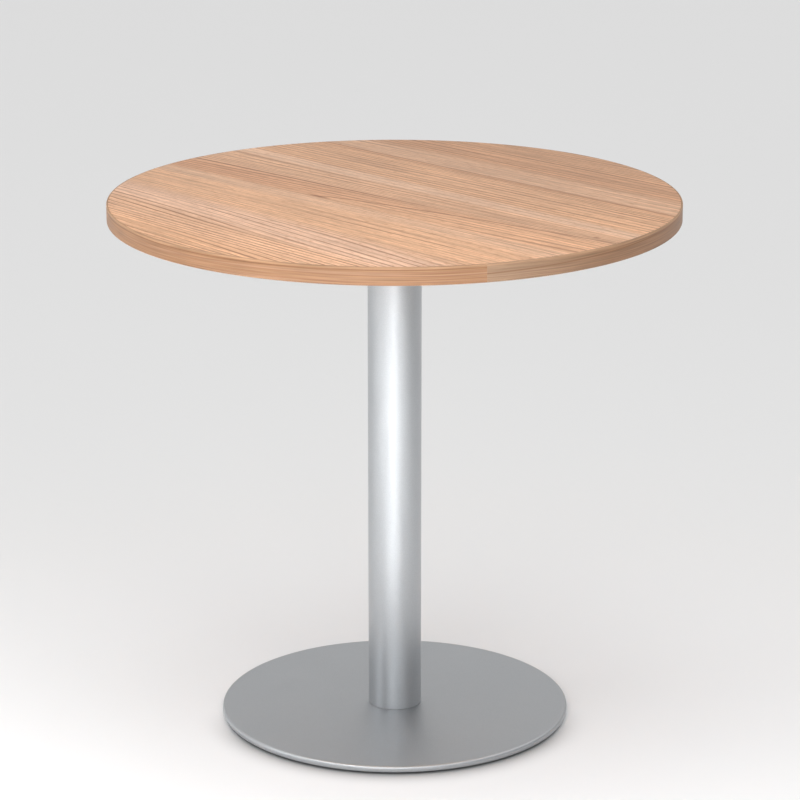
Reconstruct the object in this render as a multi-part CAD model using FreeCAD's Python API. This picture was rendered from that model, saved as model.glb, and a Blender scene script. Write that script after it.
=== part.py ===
"""Round pedestal conference table, in millimetres.

A faced chipboard disc with a glued edge band is screwed to a flat steel cross. The cross and a
round steel base plate are bolted to the two ends of a tube, and the base plate stands on four
levelling glides. +Z is up, and the origin is on the floor below the middle of the column.
"""

import FreeCAD, Part
import math
import os

from FreeCAD import Vector

# Overall sizes
table_height = 760.0
top_diameter = 800.0
base_diameter = 500.0
tube_diameter = 76.0

# Tabletop
board_thickness = 25.0
facing_thickness = 0.8
band_thickness = 2.0
band_rounding = 1.8
band_glue_line = 0.3
band_joint_gap = 0.12
band_joint_azimuth = -72.8

# Column and its welded end discs
tube_wall = 2.0
disc_thickness = 12.0
disc_bore_diameter = 22.0
weld_gap = 0.1

# Steel cross under the tabletop
cross_thickness = 5.0
cross_arms = 4
cross_reach = 205.0
cross_hub_margin = 4.0
arm_tip_width = 46.0
arm_corner_rounding = 34.0
cross_edge_chamfer = 0.8
inner_screw_radius = 112.0
slot_length = 11.0

# Base plate
base_thickness = 8.0
base_top_rounding = 3.5
base_bottom_rounding = 1.0

# Countersunk machine screws that hold the cross and the base plate to the end discs
bolt_count = 4
bolt_rim_distance = 12.0
bolt_head_sink = 0.3
bolt_hole_clearance = 0.4
upper_bolt_diameter = 6.0
upper_bolt_head_diameter = 12.0
upper_bolt_socket_width = 4.0
upper_bolt_socket_depth = 2.0
lower_bolt_diameter = 8.0
lower_bolt_head_diameter = 16.0
lower_bolt_socket_width = 5.0
lower_bolt_socket_depth = 2.6

# Pan-head chipboard screws that hold the tabletop to the cross
wood_screw_diameter = 5.0
wood_screw_length = 20.0
wood_screw_point = 3.5
wood_screw_head_diameter = 9.6
wood_screw_head_height = 3.0
wood_screw_head_rounding = 1.6
wood_screw_slit = 1.1
wood_screw_slit_span = 5.2
wood_screw_slit_depth = 1.6
wood_screw_hole_clearance = 0.4

# Levelling glides
glide_count = 4
glide_azimuth = 45.0
glide_rim_distance = 35.0
glide_height = 3.0
glide_hole_cover = 1.9
pad_diameter = 36.0
pad_rounding = 0.6
pad_floor = 1.0
pad_lip = 0.6
pad_lip_overhang = 0.8
key_hole_diameter = 9.0
stud_diameter = 8.0
stud_end_gap = 0.5
stud_flange_diameter = 20.0
stud_socket_width = 5.0
stud_socket_depth = 3.0

# Clearances of parts that turn, slide or screw into each other
thread_clearance = 0.05
swivel_clearance = 0.1
seat_clearance = 0.05

# The most of a wall that a rounding may take, on one of its sides or on both
one_side_share = 0.95
both_sides_share = 0.45

# Levels from the floor up
base_bottom = glide_height
base_top = base_bottom + base_thickness
board_bottom = table_height - board_thickness
cross_bottom = board_bottom - cross_thickness
glide_hole_top = base_top - glide_hole_cover

# Radii that several pieces share
top_radius = top_diameter / 2
panel_radius = top_radius - band_thickness - band_glue_line
tube_bore_radius = tube_diameter / 2 - tube_wall
disc_radius = tube_bore_radius - weld_gap
bolt_circle_radius = disc_radius - bolt_rim_distance
arm_root_radius = tube_diameter / 2 + cross_hub_margin
wood_screw_radius = wood_screw_diameter / 2
stud_radius = stud_diameter / 2
arm_tip_radius = arm_tip_width / 2
outer_screw_radius = cross_reach - arm_tip_radius
glide_circle_radius = base_diameter / 2 - glide_rim_distance

up = Vector(0, 0, 1)
origin = Vector(0, 0, 0)
level_tolerance = 1e-4


def polar(radius, azimuth, height=0.0):
    """A point at that distance from the table's axis; the azimuth is in degrees from +X."""
    angle = math.radians(azimuth)
    return Vector(radius * math.cos(angle), radius * math.sin(angle), height)


def ring(count, radius, start=0.0):
    """Azimuths and points of an even pattern round the table's axis."""
    azimuths = [start + 360.0 * k / count for k in range(count)]
    return [(azimuth, polar(radius, azimuth)) for azimuth in azimuths]


def rounded_corner(before, corner, after, rounding):
    """Start, middle and end of the arc that rounds a corner between two straight runs."""
    back = (before - corner).normalize()
    ahead = (after - corner).normalize()
    half_angle = back.getAngle(ahead) / 2
    cut = rounding / math.tan(half_angle)
    bisector = (back + ahead).normalize()
    middle = corner + bisector * (rounding / math.sin(half_angle) - rounding)
    return corner + back * cut, middle, corner + ahead * cut


def turned(corners, degrees=360.0):
    """A solid of revolution about +Z. Each corner of the profile is (radius, height, rounding)."""
    points = [Vector(radius, 0, height) for radius, height, rounding in corners]
    edges = []
    stops = []
    for k, (radius, height, rounding) in enumerate(corners):
        if rounding > 0:
            arc = rounded_corner(points[k - 1], points[k], points[(k + 1) % len(points)], rounding)
            stops.append((arc[0], arc[2]))
            edges.append(Part.Arc(*arc).toShape())
        else:
            stops.append((points[k], points[k]))
    for k, (arrive, leave) in enumerate(stops):
        arrive_next = stops[(k + 1) % len(stops)][0]
        edges.append(Part.LineSegment(leave, arrive_next).toShape())
    profile = Part.Face(Part.Wire(Part.__sortEdges__(edges)))
    return profile.revolve(origin, up, degrees)


def disc(radius, bottom, top, bore_radius=0.0):
    """A flat round plate, or a ring if it has a bore."""
    solid = Part.makeCylinder(radius, top - bottom, Vector(0, 0, bottom))
    if bore_radius > 0:
        solid = solid.cut(Part.makeCylinder(bore_radius, top - bottom, Vector(0, 0, bottom)))
    return solid


def hexagon_bar(width, bottom, top):
    """A hexagon bar along +Z with that width across its flats."""
    corner_radius = width / math.sqrt(3)
    corners = [polar(corner_radius, 60.0 * k, bottom) for k in range(6)]
    face = Part.Face(Part.makePolygon(corners + corners[:1]))
    return face.extrude(up * (top - bottom))


def moved(solid, point, azimuth=0.0):
    """A copy turned about +Z and then carried to the point."""
    copy = solid.copy()
    copy.rotate(origin, up, azimuth)
    copy.translate(point)
    return copy


def flipped(solid):
    """A copy turned upside down about the X axis."""
    copy = solid.copy()
    copy.rotate(origin, Vector(1, 0, 0), 180)
    return copy


def cut_all(solid, tools):
    """The solid less every tool."""
    return solid.cut(Part.makeCompound(tools))


def bolt_places():
    """Azimuths and points of the machine screws at each end of the column."""
    return ring(bolt_count, bolt_circle_radius, 180.0 / bolt_count)


def wood_screw_places():
    """Azimuths and points of the tabletop screws, two along each arm of the cross."""
    inner = ring(cross_arms, inner_screw_radius)
    outer = ring(cross_arms, outer_screw_radius)
    return inner + outer


def glide_places():
    """Azimuths and points of the levelling glides."""
    return ring(glide_count, glide_circle_radius, glide_azimuth)


def countersunk_bolt(diameter, head_diameter, socket_width, socket_depth, length):
    """A machine screw with its flat head at height 0 and its shank pointing up."""
    radius = diameter / 2
    head_radius = head_diameter / 2
    body = turned(
        [
            (0, 0, 0),
            (head_radius, 0, 0),
            (radius, head_radius - radius, 0),
            (radius, length, 0),
            (0, length, 0),
        ]
    )
    return body.cut(hexagon_bar(socket_width, 0, socket_depth))


def countersunk_hole(diameter, head_diameter, thickness):
    """The space that a machine screw needs in a plate whose outer face is at height 0."""
    hole_radius = diameter / 2 + bolt_hole_clearance
    mouth_radius = head_diameter / 2 + seat_clearance
    cone_top = bolt_head_sink + mouth_radius - hole_radius
    countersink = turned(
        [
            (0, 0, 0),
            (mouth_radius, 0, 0),
            (mouth_radius, bolt_head_sink, 0),
            (hole_radius, cone_top, 0),
            (0, cone_top, 0),
        ]
    )
    return countersink.fuse(Part.makeCylinder(hole_radius, thickness))


def wood_screw():
    """A pan-head chipboard screw with the seat of its head at height 0 and its point up."""
    head_radius = wood_screw_head_diameter / 2
    rounding = min(wood_screw_head_rounding, one_side_share * wood_screw_head_height)
    body = turned(
        [
            (0, -wood_screw_head_height, 0),
            (head_radius, -wood_screw_head_height, rounding),
            (head_radius, 0, 0),
            (wood_screw_radius, 0, 0),
            (wood_screw_radius, wood_screw_length - wood_screw_point, 0),
            (0, wood_screw_length, 0),
        ]
    )
    slit = Part.makeBox(
        wood_screw_slit_span,
        wood_screw_slit,
        wood_screw_slit_depth,
        Vector(-wood_screw_slit_span / 2, -wood_screw_slit / 2, -wood_screw_head_height),
    )
    return cut_all(body, [slit, moved(slit, origin, 90)])


def make_upper_facing():
    """Decor sheet on the upper face of the board."""
    return disc(panel_radius, table_height - facing_thickness, table_height)


def screw_pilots(bottom, top):
    """The holes that the tabletop screws make between two levels of the board."""
    pilot_radius = wood_screw_radius + thread_clearance
    pilot = Part.makeCylinder(pilot_radius, top - bottom, Vector(0, 0, bottom))
    return [moved(pilot, point, azimuth) for azimuth, point in wood_screw_places()]


def make_lower_facing():
    """Decor sheet on the lower face of the board."""
    top = board_bottom + facing_thickness
    return cut_all(disc(panel_radius, board_bottom, top), screw_pilots(board_bottom, top))


def make_core():
    """Chipboard between the two facings."""
    bottom = board_bottom + facing_thickness
    core = disc(panel_radius, bottom, table_height - facing_thickness)
    return cut_all(core, screw_pilots(bottom, cross_bottom + wood_screw_length + seat_clearance))


def make_edge_band():
    """Plastic strip glued round the board, with its two ends butted together."""
    inner_radius = top_radius - band_thickness
    rounding = min(
        band_rounding, one_side_share * band_thickness, both_sides_share * board_thickness
    )
    gap_degrees = math.degrees(band_joint_gap / top_radius)
    band = turned(
        [
            (inner_radius, board_bottom, 0),
            (top_radius, board_bottom, rounding),
            (top_radius, table_height, rounding),
            (inner_radius, table_height, 0),
        ],
        360.0 - gap_degrees,
    )
    return moved(band, origin, band_joint_azimuth + gap_degrees / 2)


def tapered_arm(thickness):
    """One arm of the cross along +X: the outline that wraps a root circle and a tip circle."""
    lean = math.asin((arm_root_radius - arm_tip_radius) / outer_screw_radius)
    side = Vector(math.sin(lean), math.cos(lean), 0)
    mirrored = Vector(side.x, -side.y, 0)
    tip_middle = Vector(outer_screw_radius, 0, 0)
    edges = [
        Part.LineSegment(mirrored * arm_root_radius, tip_middle + mirrored * arm_tip_radius),
        Part.Arc(
            tip_middle + mirrored * arm_tip_radius,
            Vector(cross_reach, 0, 0),
            tip_middle + side * arm_tip_radius,
        ),
        Part.LineSegment(tip_middle + side * arm_tip_radius, side * arm_root_radius),
        Part.Arc(
            side * arm_root_radius,
            Vector(-arm_root_radius, 0, 0),
            mirrored * arm_root_radius,
        ),
    ]
    outline = Part.Wire([edge.toShape() for edge in edges])
    return Part.Face(outline).extrude(up * thickness)


def make_cross():
    """Flat steel cross with tapered arms, countersunk from above for the column's screws."""
    arm = tapered_arm(cross_thickness)
    arms = [moved(arm, origin, azimuth) for azimuth, point in ring(cross_arms, cross_reach)]
    plate = arms[0].multiFuse(arms[1:]).removeSplitter()
    valleys = [edge for edge in plate.Edges if is_valley(edge)]
    plate = plate.makeFillet(arm_corner_rounding, valleys)
    rim = [edge for edge in plate.Edges if edge.BoundBox.ZMax < level_tolerance]
    plate = plate.makeChamfer(cross_edge_chamfer, rim)
    plate.translate(up * cross_bottom)
    hole = countersunk_hole(upper_bolt_diameter, upper_bolt_head_diameter, cross_thickness)
    hole = flipped(hole)
    hole.translate(up * board_bottom)
    holes = [moved(hole, point) for azimuth, point in bolt_places()]
    return cut_all(plate, holes + cross_screw_holes())


def is_valley(edge):
    """True for an upright edge where two arms of the cross meet."""
    box = edge.BoundBox
    upright = box.XLength + box.YLength < level_tolerance
    return upright and math.hypot(box.XMin, box.YMin) < outer_screw_radius


def cross_screw_holes():
    """Round holes near the root of each arm, and slots along it near the tip."""
    radius = wood_screw_radius + wood_screw_hole_clearance
    hole = Part.makeCylinder(radius, cross_thickness, Vector(0, 0, cross_bottom))
    half_run = slot_length / 2 - radius
    run = Part.makeBox(
        2 * half_run, 2 * radius, cross_thickness, Vector(-half_run, -radius, cross_bottom)
    )
    ends = [moved(hole, Vector(x, 0, 0)) for x in (-half_run, half_run)]
    slot = run.multiFuse(ends)
    tools = [moved(hole, point) for azimuth, point in ring(cross_arms, inner_screw_radius)]
    for azimuth, point in ring(cross_arms, outer_screw_radius):
        tools.append(moved(slot, point, azimuth))
    return tools


def make_wood_screws():
    """The tabletop screws, driven up through the cross into the board."""
    screw = wood_screw()
    return Part.makeCompound(
        [moved(screw, point + up * cross_bottom, azimuth) for azimuth, point in wood_screw_places()]
    )


def make_tube():
    """Round column tube between the base plate and the cross."""
    return disc(tube_diameter / 2, base_top, cross_bottom, tube_bore_radius)


def make_end_disc(bottom, bolt_diameter):
    """Threaded disc welded into one end of the column."""
    plate = disc(disc_radius, bottom, bottom + disc_thickness, disc_bore_diameter / 2)
    thread_radius = bolt_diameter / 2 + thread_clearance
    thread = Part.makeCylinder(thread_radius, disc_thickness, Vector(0, 0, bottom))
    return cut_all(plate, [moved(thread, point) for azimuth, point in bolt_places()])


def make_lower_bolts():
    """Machine screws from below through the base plate into the lower end disc."""
    bolt = countersunk_bolt(
        lower_bolt_diameter,
        lower_bolt_head_diameter,
        lower_bolt_socket_width,
        lower_bolt_socket_depth,
        base_thickness + disc_thickness - bolt_head_sink,
    )
    head = up * (base_bottom + bolt_head_sink)
    return Part.makeCompound([moved(bolt, point + head) for azimuth, point in bolt_places()])


def make_upper_bolts():
    """Machine screws from above through the cross into the upper end disc."""
    bolt = countersunk_bolt(
        upper_bolt_diameter,
        upper_bolt_head_diameter,
        upper_bolt_socket_width,
        upper_bolt_socket_depth,
        cross_thickness + disc_thickness - bolt_head_sink,
    )
    bolt = flipped(bolt)
    head = up * (board_bottom - bolt_head_sink)
    return Part.makeCompound([moved(bolt, point + head) for azimuth, point in bolt_places()])


def make_base_plate():
    """Round steel plate with rounded edges, drilled from below only."""
    radius = base_diameter / 2
    largest_rounding = both_sides_share * base_thickness
    plate = turned(
        [
            (0, base_bottom, 0),
            (radius, base_bottom, min(base_bottom_rounding, largest_rounding)),
            (radius, base_top, min(base_top_rounding, largest_rounding)),
            (0, base_top, 0),
        ]
    )
    hole = countersunk_hole(lower_bolt_diameter, lower_bolt_head_diameter, base_thickness)
    bolt_holes = [moved(hole, point + up * base_bottom) for azimuth, point in bolt_places()]
    thread_radius = stud_radius + thread_clearance
    thread_depth = glide_hole_top - base_bottom
    thread = Part.makeCylinder(thread_radius, thread_depth, Vector(0, 0, base_bottom))
    glide_holes = [moved(thread, point) for azimuth, point in glide_places()]
    return cut_all(plate, bolt_holes + glide_holes)


def make_glide_pad():
    """Plastic foot of a glide, with a groove that the stud's flange snaps into."""
    pad_radius = pad_diameter / 2
    rounding = min(pad_rounding, both_sides_share * glide_height)
    groove_radius = stud_flange_diameter / 2 + swivel_clearance
    lip_radius = stud_flange_diameter / 2 - pad_lip_overhang
    return turned(
        [
            (key_hole_diameter / 2, 0, 0),
            (pad_radius, 0, rounding),
            (pad_radius, glide_height, rounding),
            (lip_radius, glide_height, 0),
            (lip_radius, glide_height - pad_lip, 0),
            (groove_radius, glide_height - pad_lip, 0),
            (groove_radius, pad_floor, 0),
            (key_hole_diameter / 2, pad_floor, 0),
        ]
    )


def make_glide_stud():
    """Threaded stud of a glide, turned by a key from below through the foot."""
    flange_radius = stud_flange_diameter / 2
    flange_bottom = pad_floor + swivel_clearance
    flange_top = glide_height - pad_lip - swivel_clearance
    stud_top = glide_hole_top - stud_end_gap
    stud = turned(
        [
            (0, flange_bottom, 0),
            (flange_radius, flange_bottom, 0),
            (flange_radius, flange_top, 0),
            (stud_radius, flange_top, 0),
            (stud_radius, stud_top, 0),
            (0, stud_top, 0),
        ]
    )
    return stud.cut(hexagon_bar(stud_socket_width, flange_bottom, flange_bottom + stud_socket_depth))


def build():
    """Every piece of the table by the name of its node."""
    pieces = {
        "tabletop_upper_facing": make_upper_facing(),
        "tabletop_core": make_core(),
        "tabletop_lower_facing": make_lower_facing(),
        "edge_band": make_edge_band(),
        "tabletop_screws": make_wood_screws(),
        "top_cross": make_cross(),
        "upper_flange_bolts": make_upper_bolts(),
        "upper_end_disc": make_end_disc(cross_bottom - disc_thickness, upper_bolt_diameter),
        "column_tube": make_tube(),
        "lower_end_disc": make_end_disc(base_top, lower_bolt_diameter),
        "lower_flange_bolts": make_lower_bolts(),
        "base_plate": make_base_plate(),
    }
    pad = make_glide_pad()
    stud = make_glide_stud()
    for number, (azimuth, point) in enumerate(glide_places(), start=1):
        pieces[f"glide_pad_{number}"] = moved(pad, point, azimuth)
        pieces[f"glide_stud_{number}"] = moved(stud, point, azimuth)
    return pieces


os.makedirs("parts", exist_ok=True)
for name, shape in build().items():
    shape.exportStep(f"parts/{name}.step")
    print(f"{name}: {len(shape.Solids)} solid(s), {shape.Volume / 1000:.2f} cm3, valid {shape.isValid()}")
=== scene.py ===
import math

import bmesh
import bpy
from mathutils import Matrix, Vector


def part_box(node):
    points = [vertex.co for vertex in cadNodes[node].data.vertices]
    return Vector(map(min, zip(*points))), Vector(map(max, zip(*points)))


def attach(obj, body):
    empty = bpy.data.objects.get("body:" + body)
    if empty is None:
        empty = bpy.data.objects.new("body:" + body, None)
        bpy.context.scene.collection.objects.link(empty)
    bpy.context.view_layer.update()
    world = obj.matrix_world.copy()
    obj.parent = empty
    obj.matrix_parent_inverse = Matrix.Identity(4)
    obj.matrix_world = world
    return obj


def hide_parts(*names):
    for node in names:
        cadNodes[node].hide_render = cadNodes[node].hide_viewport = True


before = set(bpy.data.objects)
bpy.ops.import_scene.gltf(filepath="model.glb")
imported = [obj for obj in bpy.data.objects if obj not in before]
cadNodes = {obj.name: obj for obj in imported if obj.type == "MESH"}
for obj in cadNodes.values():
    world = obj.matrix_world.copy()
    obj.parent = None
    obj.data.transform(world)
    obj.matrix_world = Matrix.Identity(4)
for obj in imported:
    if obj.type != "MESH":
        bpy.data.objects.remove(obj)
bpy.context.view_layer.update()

glideCorners = range(1, 5)
mm = 0.001  # sizes below are in millimetres, and Blender's unit is the metre
perMm = (1 / mm, 1 / mm, 1 / mm)  # brings Object coordinates to millimetres
noiseLow, noiseHigh = 0.25, 0.75  # between these lie nearly all values of a noise texture
print("frame loaded,", len(cadNodes), "CAD nodes")


def linear(hexColour):
    # sRGB hex to the linear colour that a shader takes
    parts = [int(hexColour[i:i + 2], 16) / 255 for i in (1, 3, 5)]
    return [c / 12.92 if c <= 0.04045 else ((c + 0.055) / 1.055) ** 2.4 for c in parts] + [1.0]


def add(tree, kind, inputs={}, stops=(), **settings):
    # one node with its settings, its ramp stops and its links
    made = tree.nodes.new("ShaderNode" + kind)
    for name, value in settings.items():
        setattr(made, name, value)
    for i, (place, tone) in enumerate(stops):
        elements = made.color_ramp.elements
        stop = elements[i] if i < 2 else elements.new(place)
        stop.position = place
        stop.color = linear(tone) if isinstance(tone, str) else (tone, tone, tone, 1)
    live = [socket for socket in made.inputs if socket.enabled]
    for key, value in inputs.items():
        socket = live[key] if isinstance(key, int) else next(s for s in live if s.name == key)
        if isinstance(value, bpy.types.Node):
            value = next(s for s in value.outputs if s.enabled)
        if isinstance(value, bpy.types.NodeSocket):
            tree.links.new(value, socket)
        else:
            socket.default_value = value
    return made


def newTree(name):
    material = bpy.data.materials.new(name)
    material.use_nodes = True
    material.node_tree.nodes.clear()
    return material, material.node_tree


# Walnut decor: a printed paper under satin melamine. The print gives broad strips of peach, tan and beige,
# thin brown growth lines and one branching line left of the middle; the resin gives a soft sheen.
walnutTones = {
    "tan": "#D6A47C", "deepTan": "#D29E76", "beige": "#DAAD8A", "cream": "#E7BC9B", "rose": "#DDAE89",
    "umber": "#D8A179", "peach": "#E6B894", "honey": "#E4B28A", "paleRose": "#E9BD9E", "amber": "#E3B087",
    "orange": "#E2B088", "glow": "#E8B791",
}
walnutDecor = {
    "grainTurn": 45,          # degrees, the grain runs from the back left to the front right
    "backingCut": (-240, 150),  # where the backing lies in the print, along and across the grain
    "sheetSpan": 400,         # the strips below lie between minus and plus this, across the grain
    "strips": [               # place across the grain, tone
        (-400, "amber"), (-360, "amber"), (-325, "glow"), (-290, "glow"), (-262, "paleRose"),
        (-222, "paleRose"), (-190, "honey"), (-120, "honey"), (-98, "peach"), (-76, "peach"), (-66, "umber"),
        (-20, "umber"), (0, "rose"), (48, "rose"), (58, "cream"), (76, "cream"), (83, "peach"), (86, "amber"),
        (130, "orange"), (180, "amber"), (193, "deepTan"), (198, "beige"), (245, "beige"), (268, "deepTan"),
        (300, "deepTan"), (345, "tan"), (400, "tan"),
    ],
    "leans": [                # place across the grain, how the grain leans there, sideways per length
        (-400, -0.09), (-270, -0.08), (-160, -0.03), (-90, -0.01), (-40, 0.03),
        (0, 0.015), (70, -0.03), (200, -0.02), (300, 0.0), (400, 0.02),
    ],
    "leanLimit": 0.12,        # no lean above is larger
    "drift": (2000, 90),      # length and width of the slow noise that the grain follows
    "wobble": 4,              # how far it bends the grain
    "lined": [                # place across the grain, how strongly growth lines show there
        (-400, 0.8), (-335, 1.0), (-300, 0.95), (-280, 0.85), (-255, 0.75), (-215, 0.75), (-190, 0.45),
        (-110, 0.38), (-60, 0.65), (0, 0.85), (45, 0.75), (62, 0.35), (95, 0.85), (185, 0.95), (210, 0.25),
        (262, 0.8), (300, 1.0), (400, 0.95),
    ],
    "ringSpacing": 9.5,
    "ringWidth": 0.24,        # half the width of a growth line, in spacings
    "ringWander": 4,          # how far the slow noise shifts the growth lines, in spacings
    "ringFade": {"length": 260, "noise": (0.35, 0.6), "least": 0.45},  # how they come and go
    "lines": [                # place, half width, depth, and where along the grain it starts, fades and ends
        (-9, 3.4, 0.9, -420, -60, 160), (-27, 3.0, 0.7, -420, -280, -200), (195, 2.8, 0.75, -420, 300, 500),
        (185, 2.2, 0.5, -60, 100, 300), (84, 2.6, 0.6, -420, -200, 0), (-147, 2.6, 0.7, -30, 250, 360),
        (-130, 2.2, 0.5, -360, -240, -150), (335, 3.0, 0.6, -220, -80, 0), (27, 2.6, 0.6, 60, 200, 330),
    ],
    "lineStart": 30,          # a line starts over twice this length
    "branch": {               # the branching line: along and across at its start, how it climbs from there
        "start": (-90, -67), "startLength": 15, "rise": 0.92, "power": 0.72, "halfWidth": 3.4, "depth": 0.85,
    },
    "branchGround": {         # paler ground along the branching line, more so below it
        "tone": "honey",
        "across": [(-80, 0), (-67.2, 1), (-16, 1), (0, 0)],  # place across the grain, share
        "edge": (4, -8),      # it changes from this far above the line to this far below
        "below": 0.7,
        "above": 0.6,
        "aboveAlong": (-250, 150),  # where along the grain it comes up above the line
    },
    "flecks": [               # along, across, half length, half width, depth
        (-82, -66, 30, 6, 1.0), (358, 20, 9, 6, 0.9), (195, 143, 12, 6, 0.4),
        (-170, -320, 9, 4, 0.35), (273, 60, 10, 3, 0.3),
    ],
    "streaks": [              # length and width, how many octaves, darkest and lightest
        (260, 60, 1, 0.93, 1.07), (1200, 8, 2, 0.84, 1.16), (120, 3, 2, 0.85, 1.15), (34, 3.5, 1, 0.9, 1.1),
    ],
    "lineTone": "#8C5836",
    "poreTone": "#B57C54",
    "pores": {"size": (14, 1.6), "noise": (0.58, 0.74), "depth": 0.5},
    "emboss": (0.6, 0.05),    # strength, depth
    "gloss": (0.42, 0.55),    # roughness of the sheet, and in the pores
}


def makeWalnut(name, slide):
    # slide is how far the sheet lies from the middle of the print, along and across the grain
    look = walnutDecor
    material, tree = newTree(name)
    span = look["sheetSpan"]

    def rampStops(values):
        # places across the grain, as places on a ramp
        return [((v + span) / span / 2, value) for v, value in values]

    place = add(tree, "TexCoord").outputs["Object"]
    grain = add(tree, "Mapping", {"Vector": place, "Rotation": (0, 0, math.radians(look["grainTurn"])),
                                  "Scale": perMm, "Location": (slide[0], slide[1], 0)})
    axes = add(tree, "SeparateXYZ", {0: grain})
    along, across = axes.outputs["X"], axes.outputs["Y"]

    # the grain wanders a few millimetres and leans differently from strip to strip
    length, width = look["drift"]
    slow = add(tree, "Mapping", {"Vector": grain, "Scale": (1 / length, 1 / width, 0)})
    drift = add(tree, "TexNoise", {"Vector": slow, "Scale": 1, "Detail": 1}, noise_dimensions="2D")
    shift = add(tree, "MapRange", {"Value": drift, "From Min": noiseLow, "From Max": noiseHigh,
                                   "To Min": -look["wobble"], "To Max": look["wobble"]}, clamp=False)
    bare = add(tree, "Math", {0: across, 1: shift}, operation="ADD")
    share = add(tree, "MapRange", {"Value": bare, "From Min": -span, "From Max": span})
    limit = look["leanLimit"]
    lean = add(tree, "ValToRGB", {0: share},
               rampStops([(v, (s + limit) / limit / 2) for v, s in look["leans"]]))
    lean.color_ramp.interpolation = "EASE"
    lean = add(tree, "MapRange", {"Value": lean, "To Min": -limit, "To Max": limit})
    lean = add(tree, "Math", {0: lean, 1: along}, operation="MULTIPLY")
    bent = add(tree, "Math", {0: bare, 1: lean}, operation="SUBTRACT")
    bentShare = add(tree, "MapRange", {"Value": bent, "From Min": -span, "From Max": span})
    tone = add(tree, "ValToRGB", {0: bentShare}, rampStops([(v, walnutTones[c]) for v, c in look["strips"]]))

    # the branching line leaves its fleck and climbs across the grain, with paler ground below it
    branch, ground = look["branch"], look["branchGround"]
    reach = add(tree, "Math", {0: along, 1: branch["start"][0]}, operation="SUBTRACT")
    reach = add(tree, "Math", {0: reach, 1: 0.0}, operation="MAXIMUM")
    climb = add(tree, "Math", {0: reach, 1: branch["power"]}, operation="POWER")
    climb = add(tree, "Math", {0: climb, 1: branch["rise"], 2: branch["start"][1]}, operation="MULTIPLY_ADD")
    sideDistance = add(tree, "Math", {0: bare, 1: climb}, operation="SUBTRACT")
    under = add(tree, "MapRange", {"Value": sideDistance, "From Min": ground["edge"][0],
                                   "From Max": ground["edge"][1]})
    above = add(tree, "MapRange", {"Value": along, "From Min": ground["aboveAlong"][0],
                                   "From Max": ground["aboveAlong"][1], "To Max": ground["above"]})
    paler = add(tree, "MapRange", {"Value": under, "To Min": above, "To Max": ground["below"]})
    inStrip = add(tree, "ValToRGB", {0: bentShare}, rampStops(ground["across"]))
    paler = add(tree, "Math", {0: paler, 1: inStrip}, operation="MULTIPLY")
    tone = add(tree, "Mix", {0: paler, "A": tone, "B": linear(walnutTones[ground["tone"]])}, data_type="RGBA")

    # blotches, long streaks and fine fibres over the printed strips
    bentPlace = add(tree, "CombineXYZ", {"X": along, "Y": bent})
    for length, width, detail, low, high in look["streaks"]:
        stretched = add(tree, "Mapping", {"Vector": bentPlace, "Scale": (1 / length, 1 / width, 0)})
        streak = add(tree, "TexNoise", {"Vector": stretched, "Scale": 1, "Detail": detail},
                     noise_dimensions="2D")
        streak = add(tree, "MapRange", {"Value": streak, "From Min": noiseLow, "From Max": noiseHigh,
                                        "To Min": low, "To Max": high}, clamp=False)
        tone = add(tree, "VectorMath", {0: tone, 1: streak}, operation="MULTIPLY")

    # growth lines: evenly spaced, shifted by the same slow noise, coming and going along the grain
    phase = add(tree, "Math", {0: bent, 1: 1 / look["ringSpacing"]}, operation="MULTIPLY")
    phase = add(tree, "Math", {0: drift, 1: look["ringWander"], 2: phase}, operation="MULTIPLY_ADD")
    rings = add(tree, "Math", {0: phase, 1: 0.5}, operation="PINGPONG")
    rings = add(tree, "MapRange", {"Value": rings, "From Max": look["ringWidth"], "To Min": 1, "To Max": 0},
                interpolation_type="SMOOTHSTEP")
    fade = look["ringFade"]
    comeAndGo = add(tree, "Mapping", {"Vector": bentPlace,
                                      "Scale": (1 / fade["length"], 1 / look["ringSpacing"], 0)})
    comeAndGo = add(tree, "TexNoise", {"Vector": comeAndGo, "Scale": 1, "Detail": 1}, noise_dimensions="2D")
    comeAndGo = add(tree, "MapRange", {"Value": comeAndGo, "From Min": fade["noise"][0],
                                       "From Max": fade["noise"][1], "To Min": fade["least"]})
    lined = add(tree, "ValToRGB", {0: bentShare}, rampStops(look["lined"]))
    rings = add(tree, "Math", {0: rings, 1: lined}, operation="MULTIPLY")
    dark = add(tree, "Math", {0: rings, 1: comeAndGo}, operation="MULTIPLY")

    mark = add(tree, "Math", {0: sideDistance}, operation="ABSOLUTE")
    mark = add(tree, "MapRange", {"Value": mark, "From Max": branch["halfWidth"], "To Min": branch["depth"],
                                  "To Max": 0}, interpolation_type="SMOOTHSTEP")
    begun = add(tree, "MapRange", {"Value": reach, "From Max": branch["startLength"]})
    mark = add(tree, "Math", {0: mark, 1: begun}, operation="MULTIPLY")
    dark = add(tree, "Math", {0: dark, 1: mark}, operation="MAXIMUM")

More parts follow.
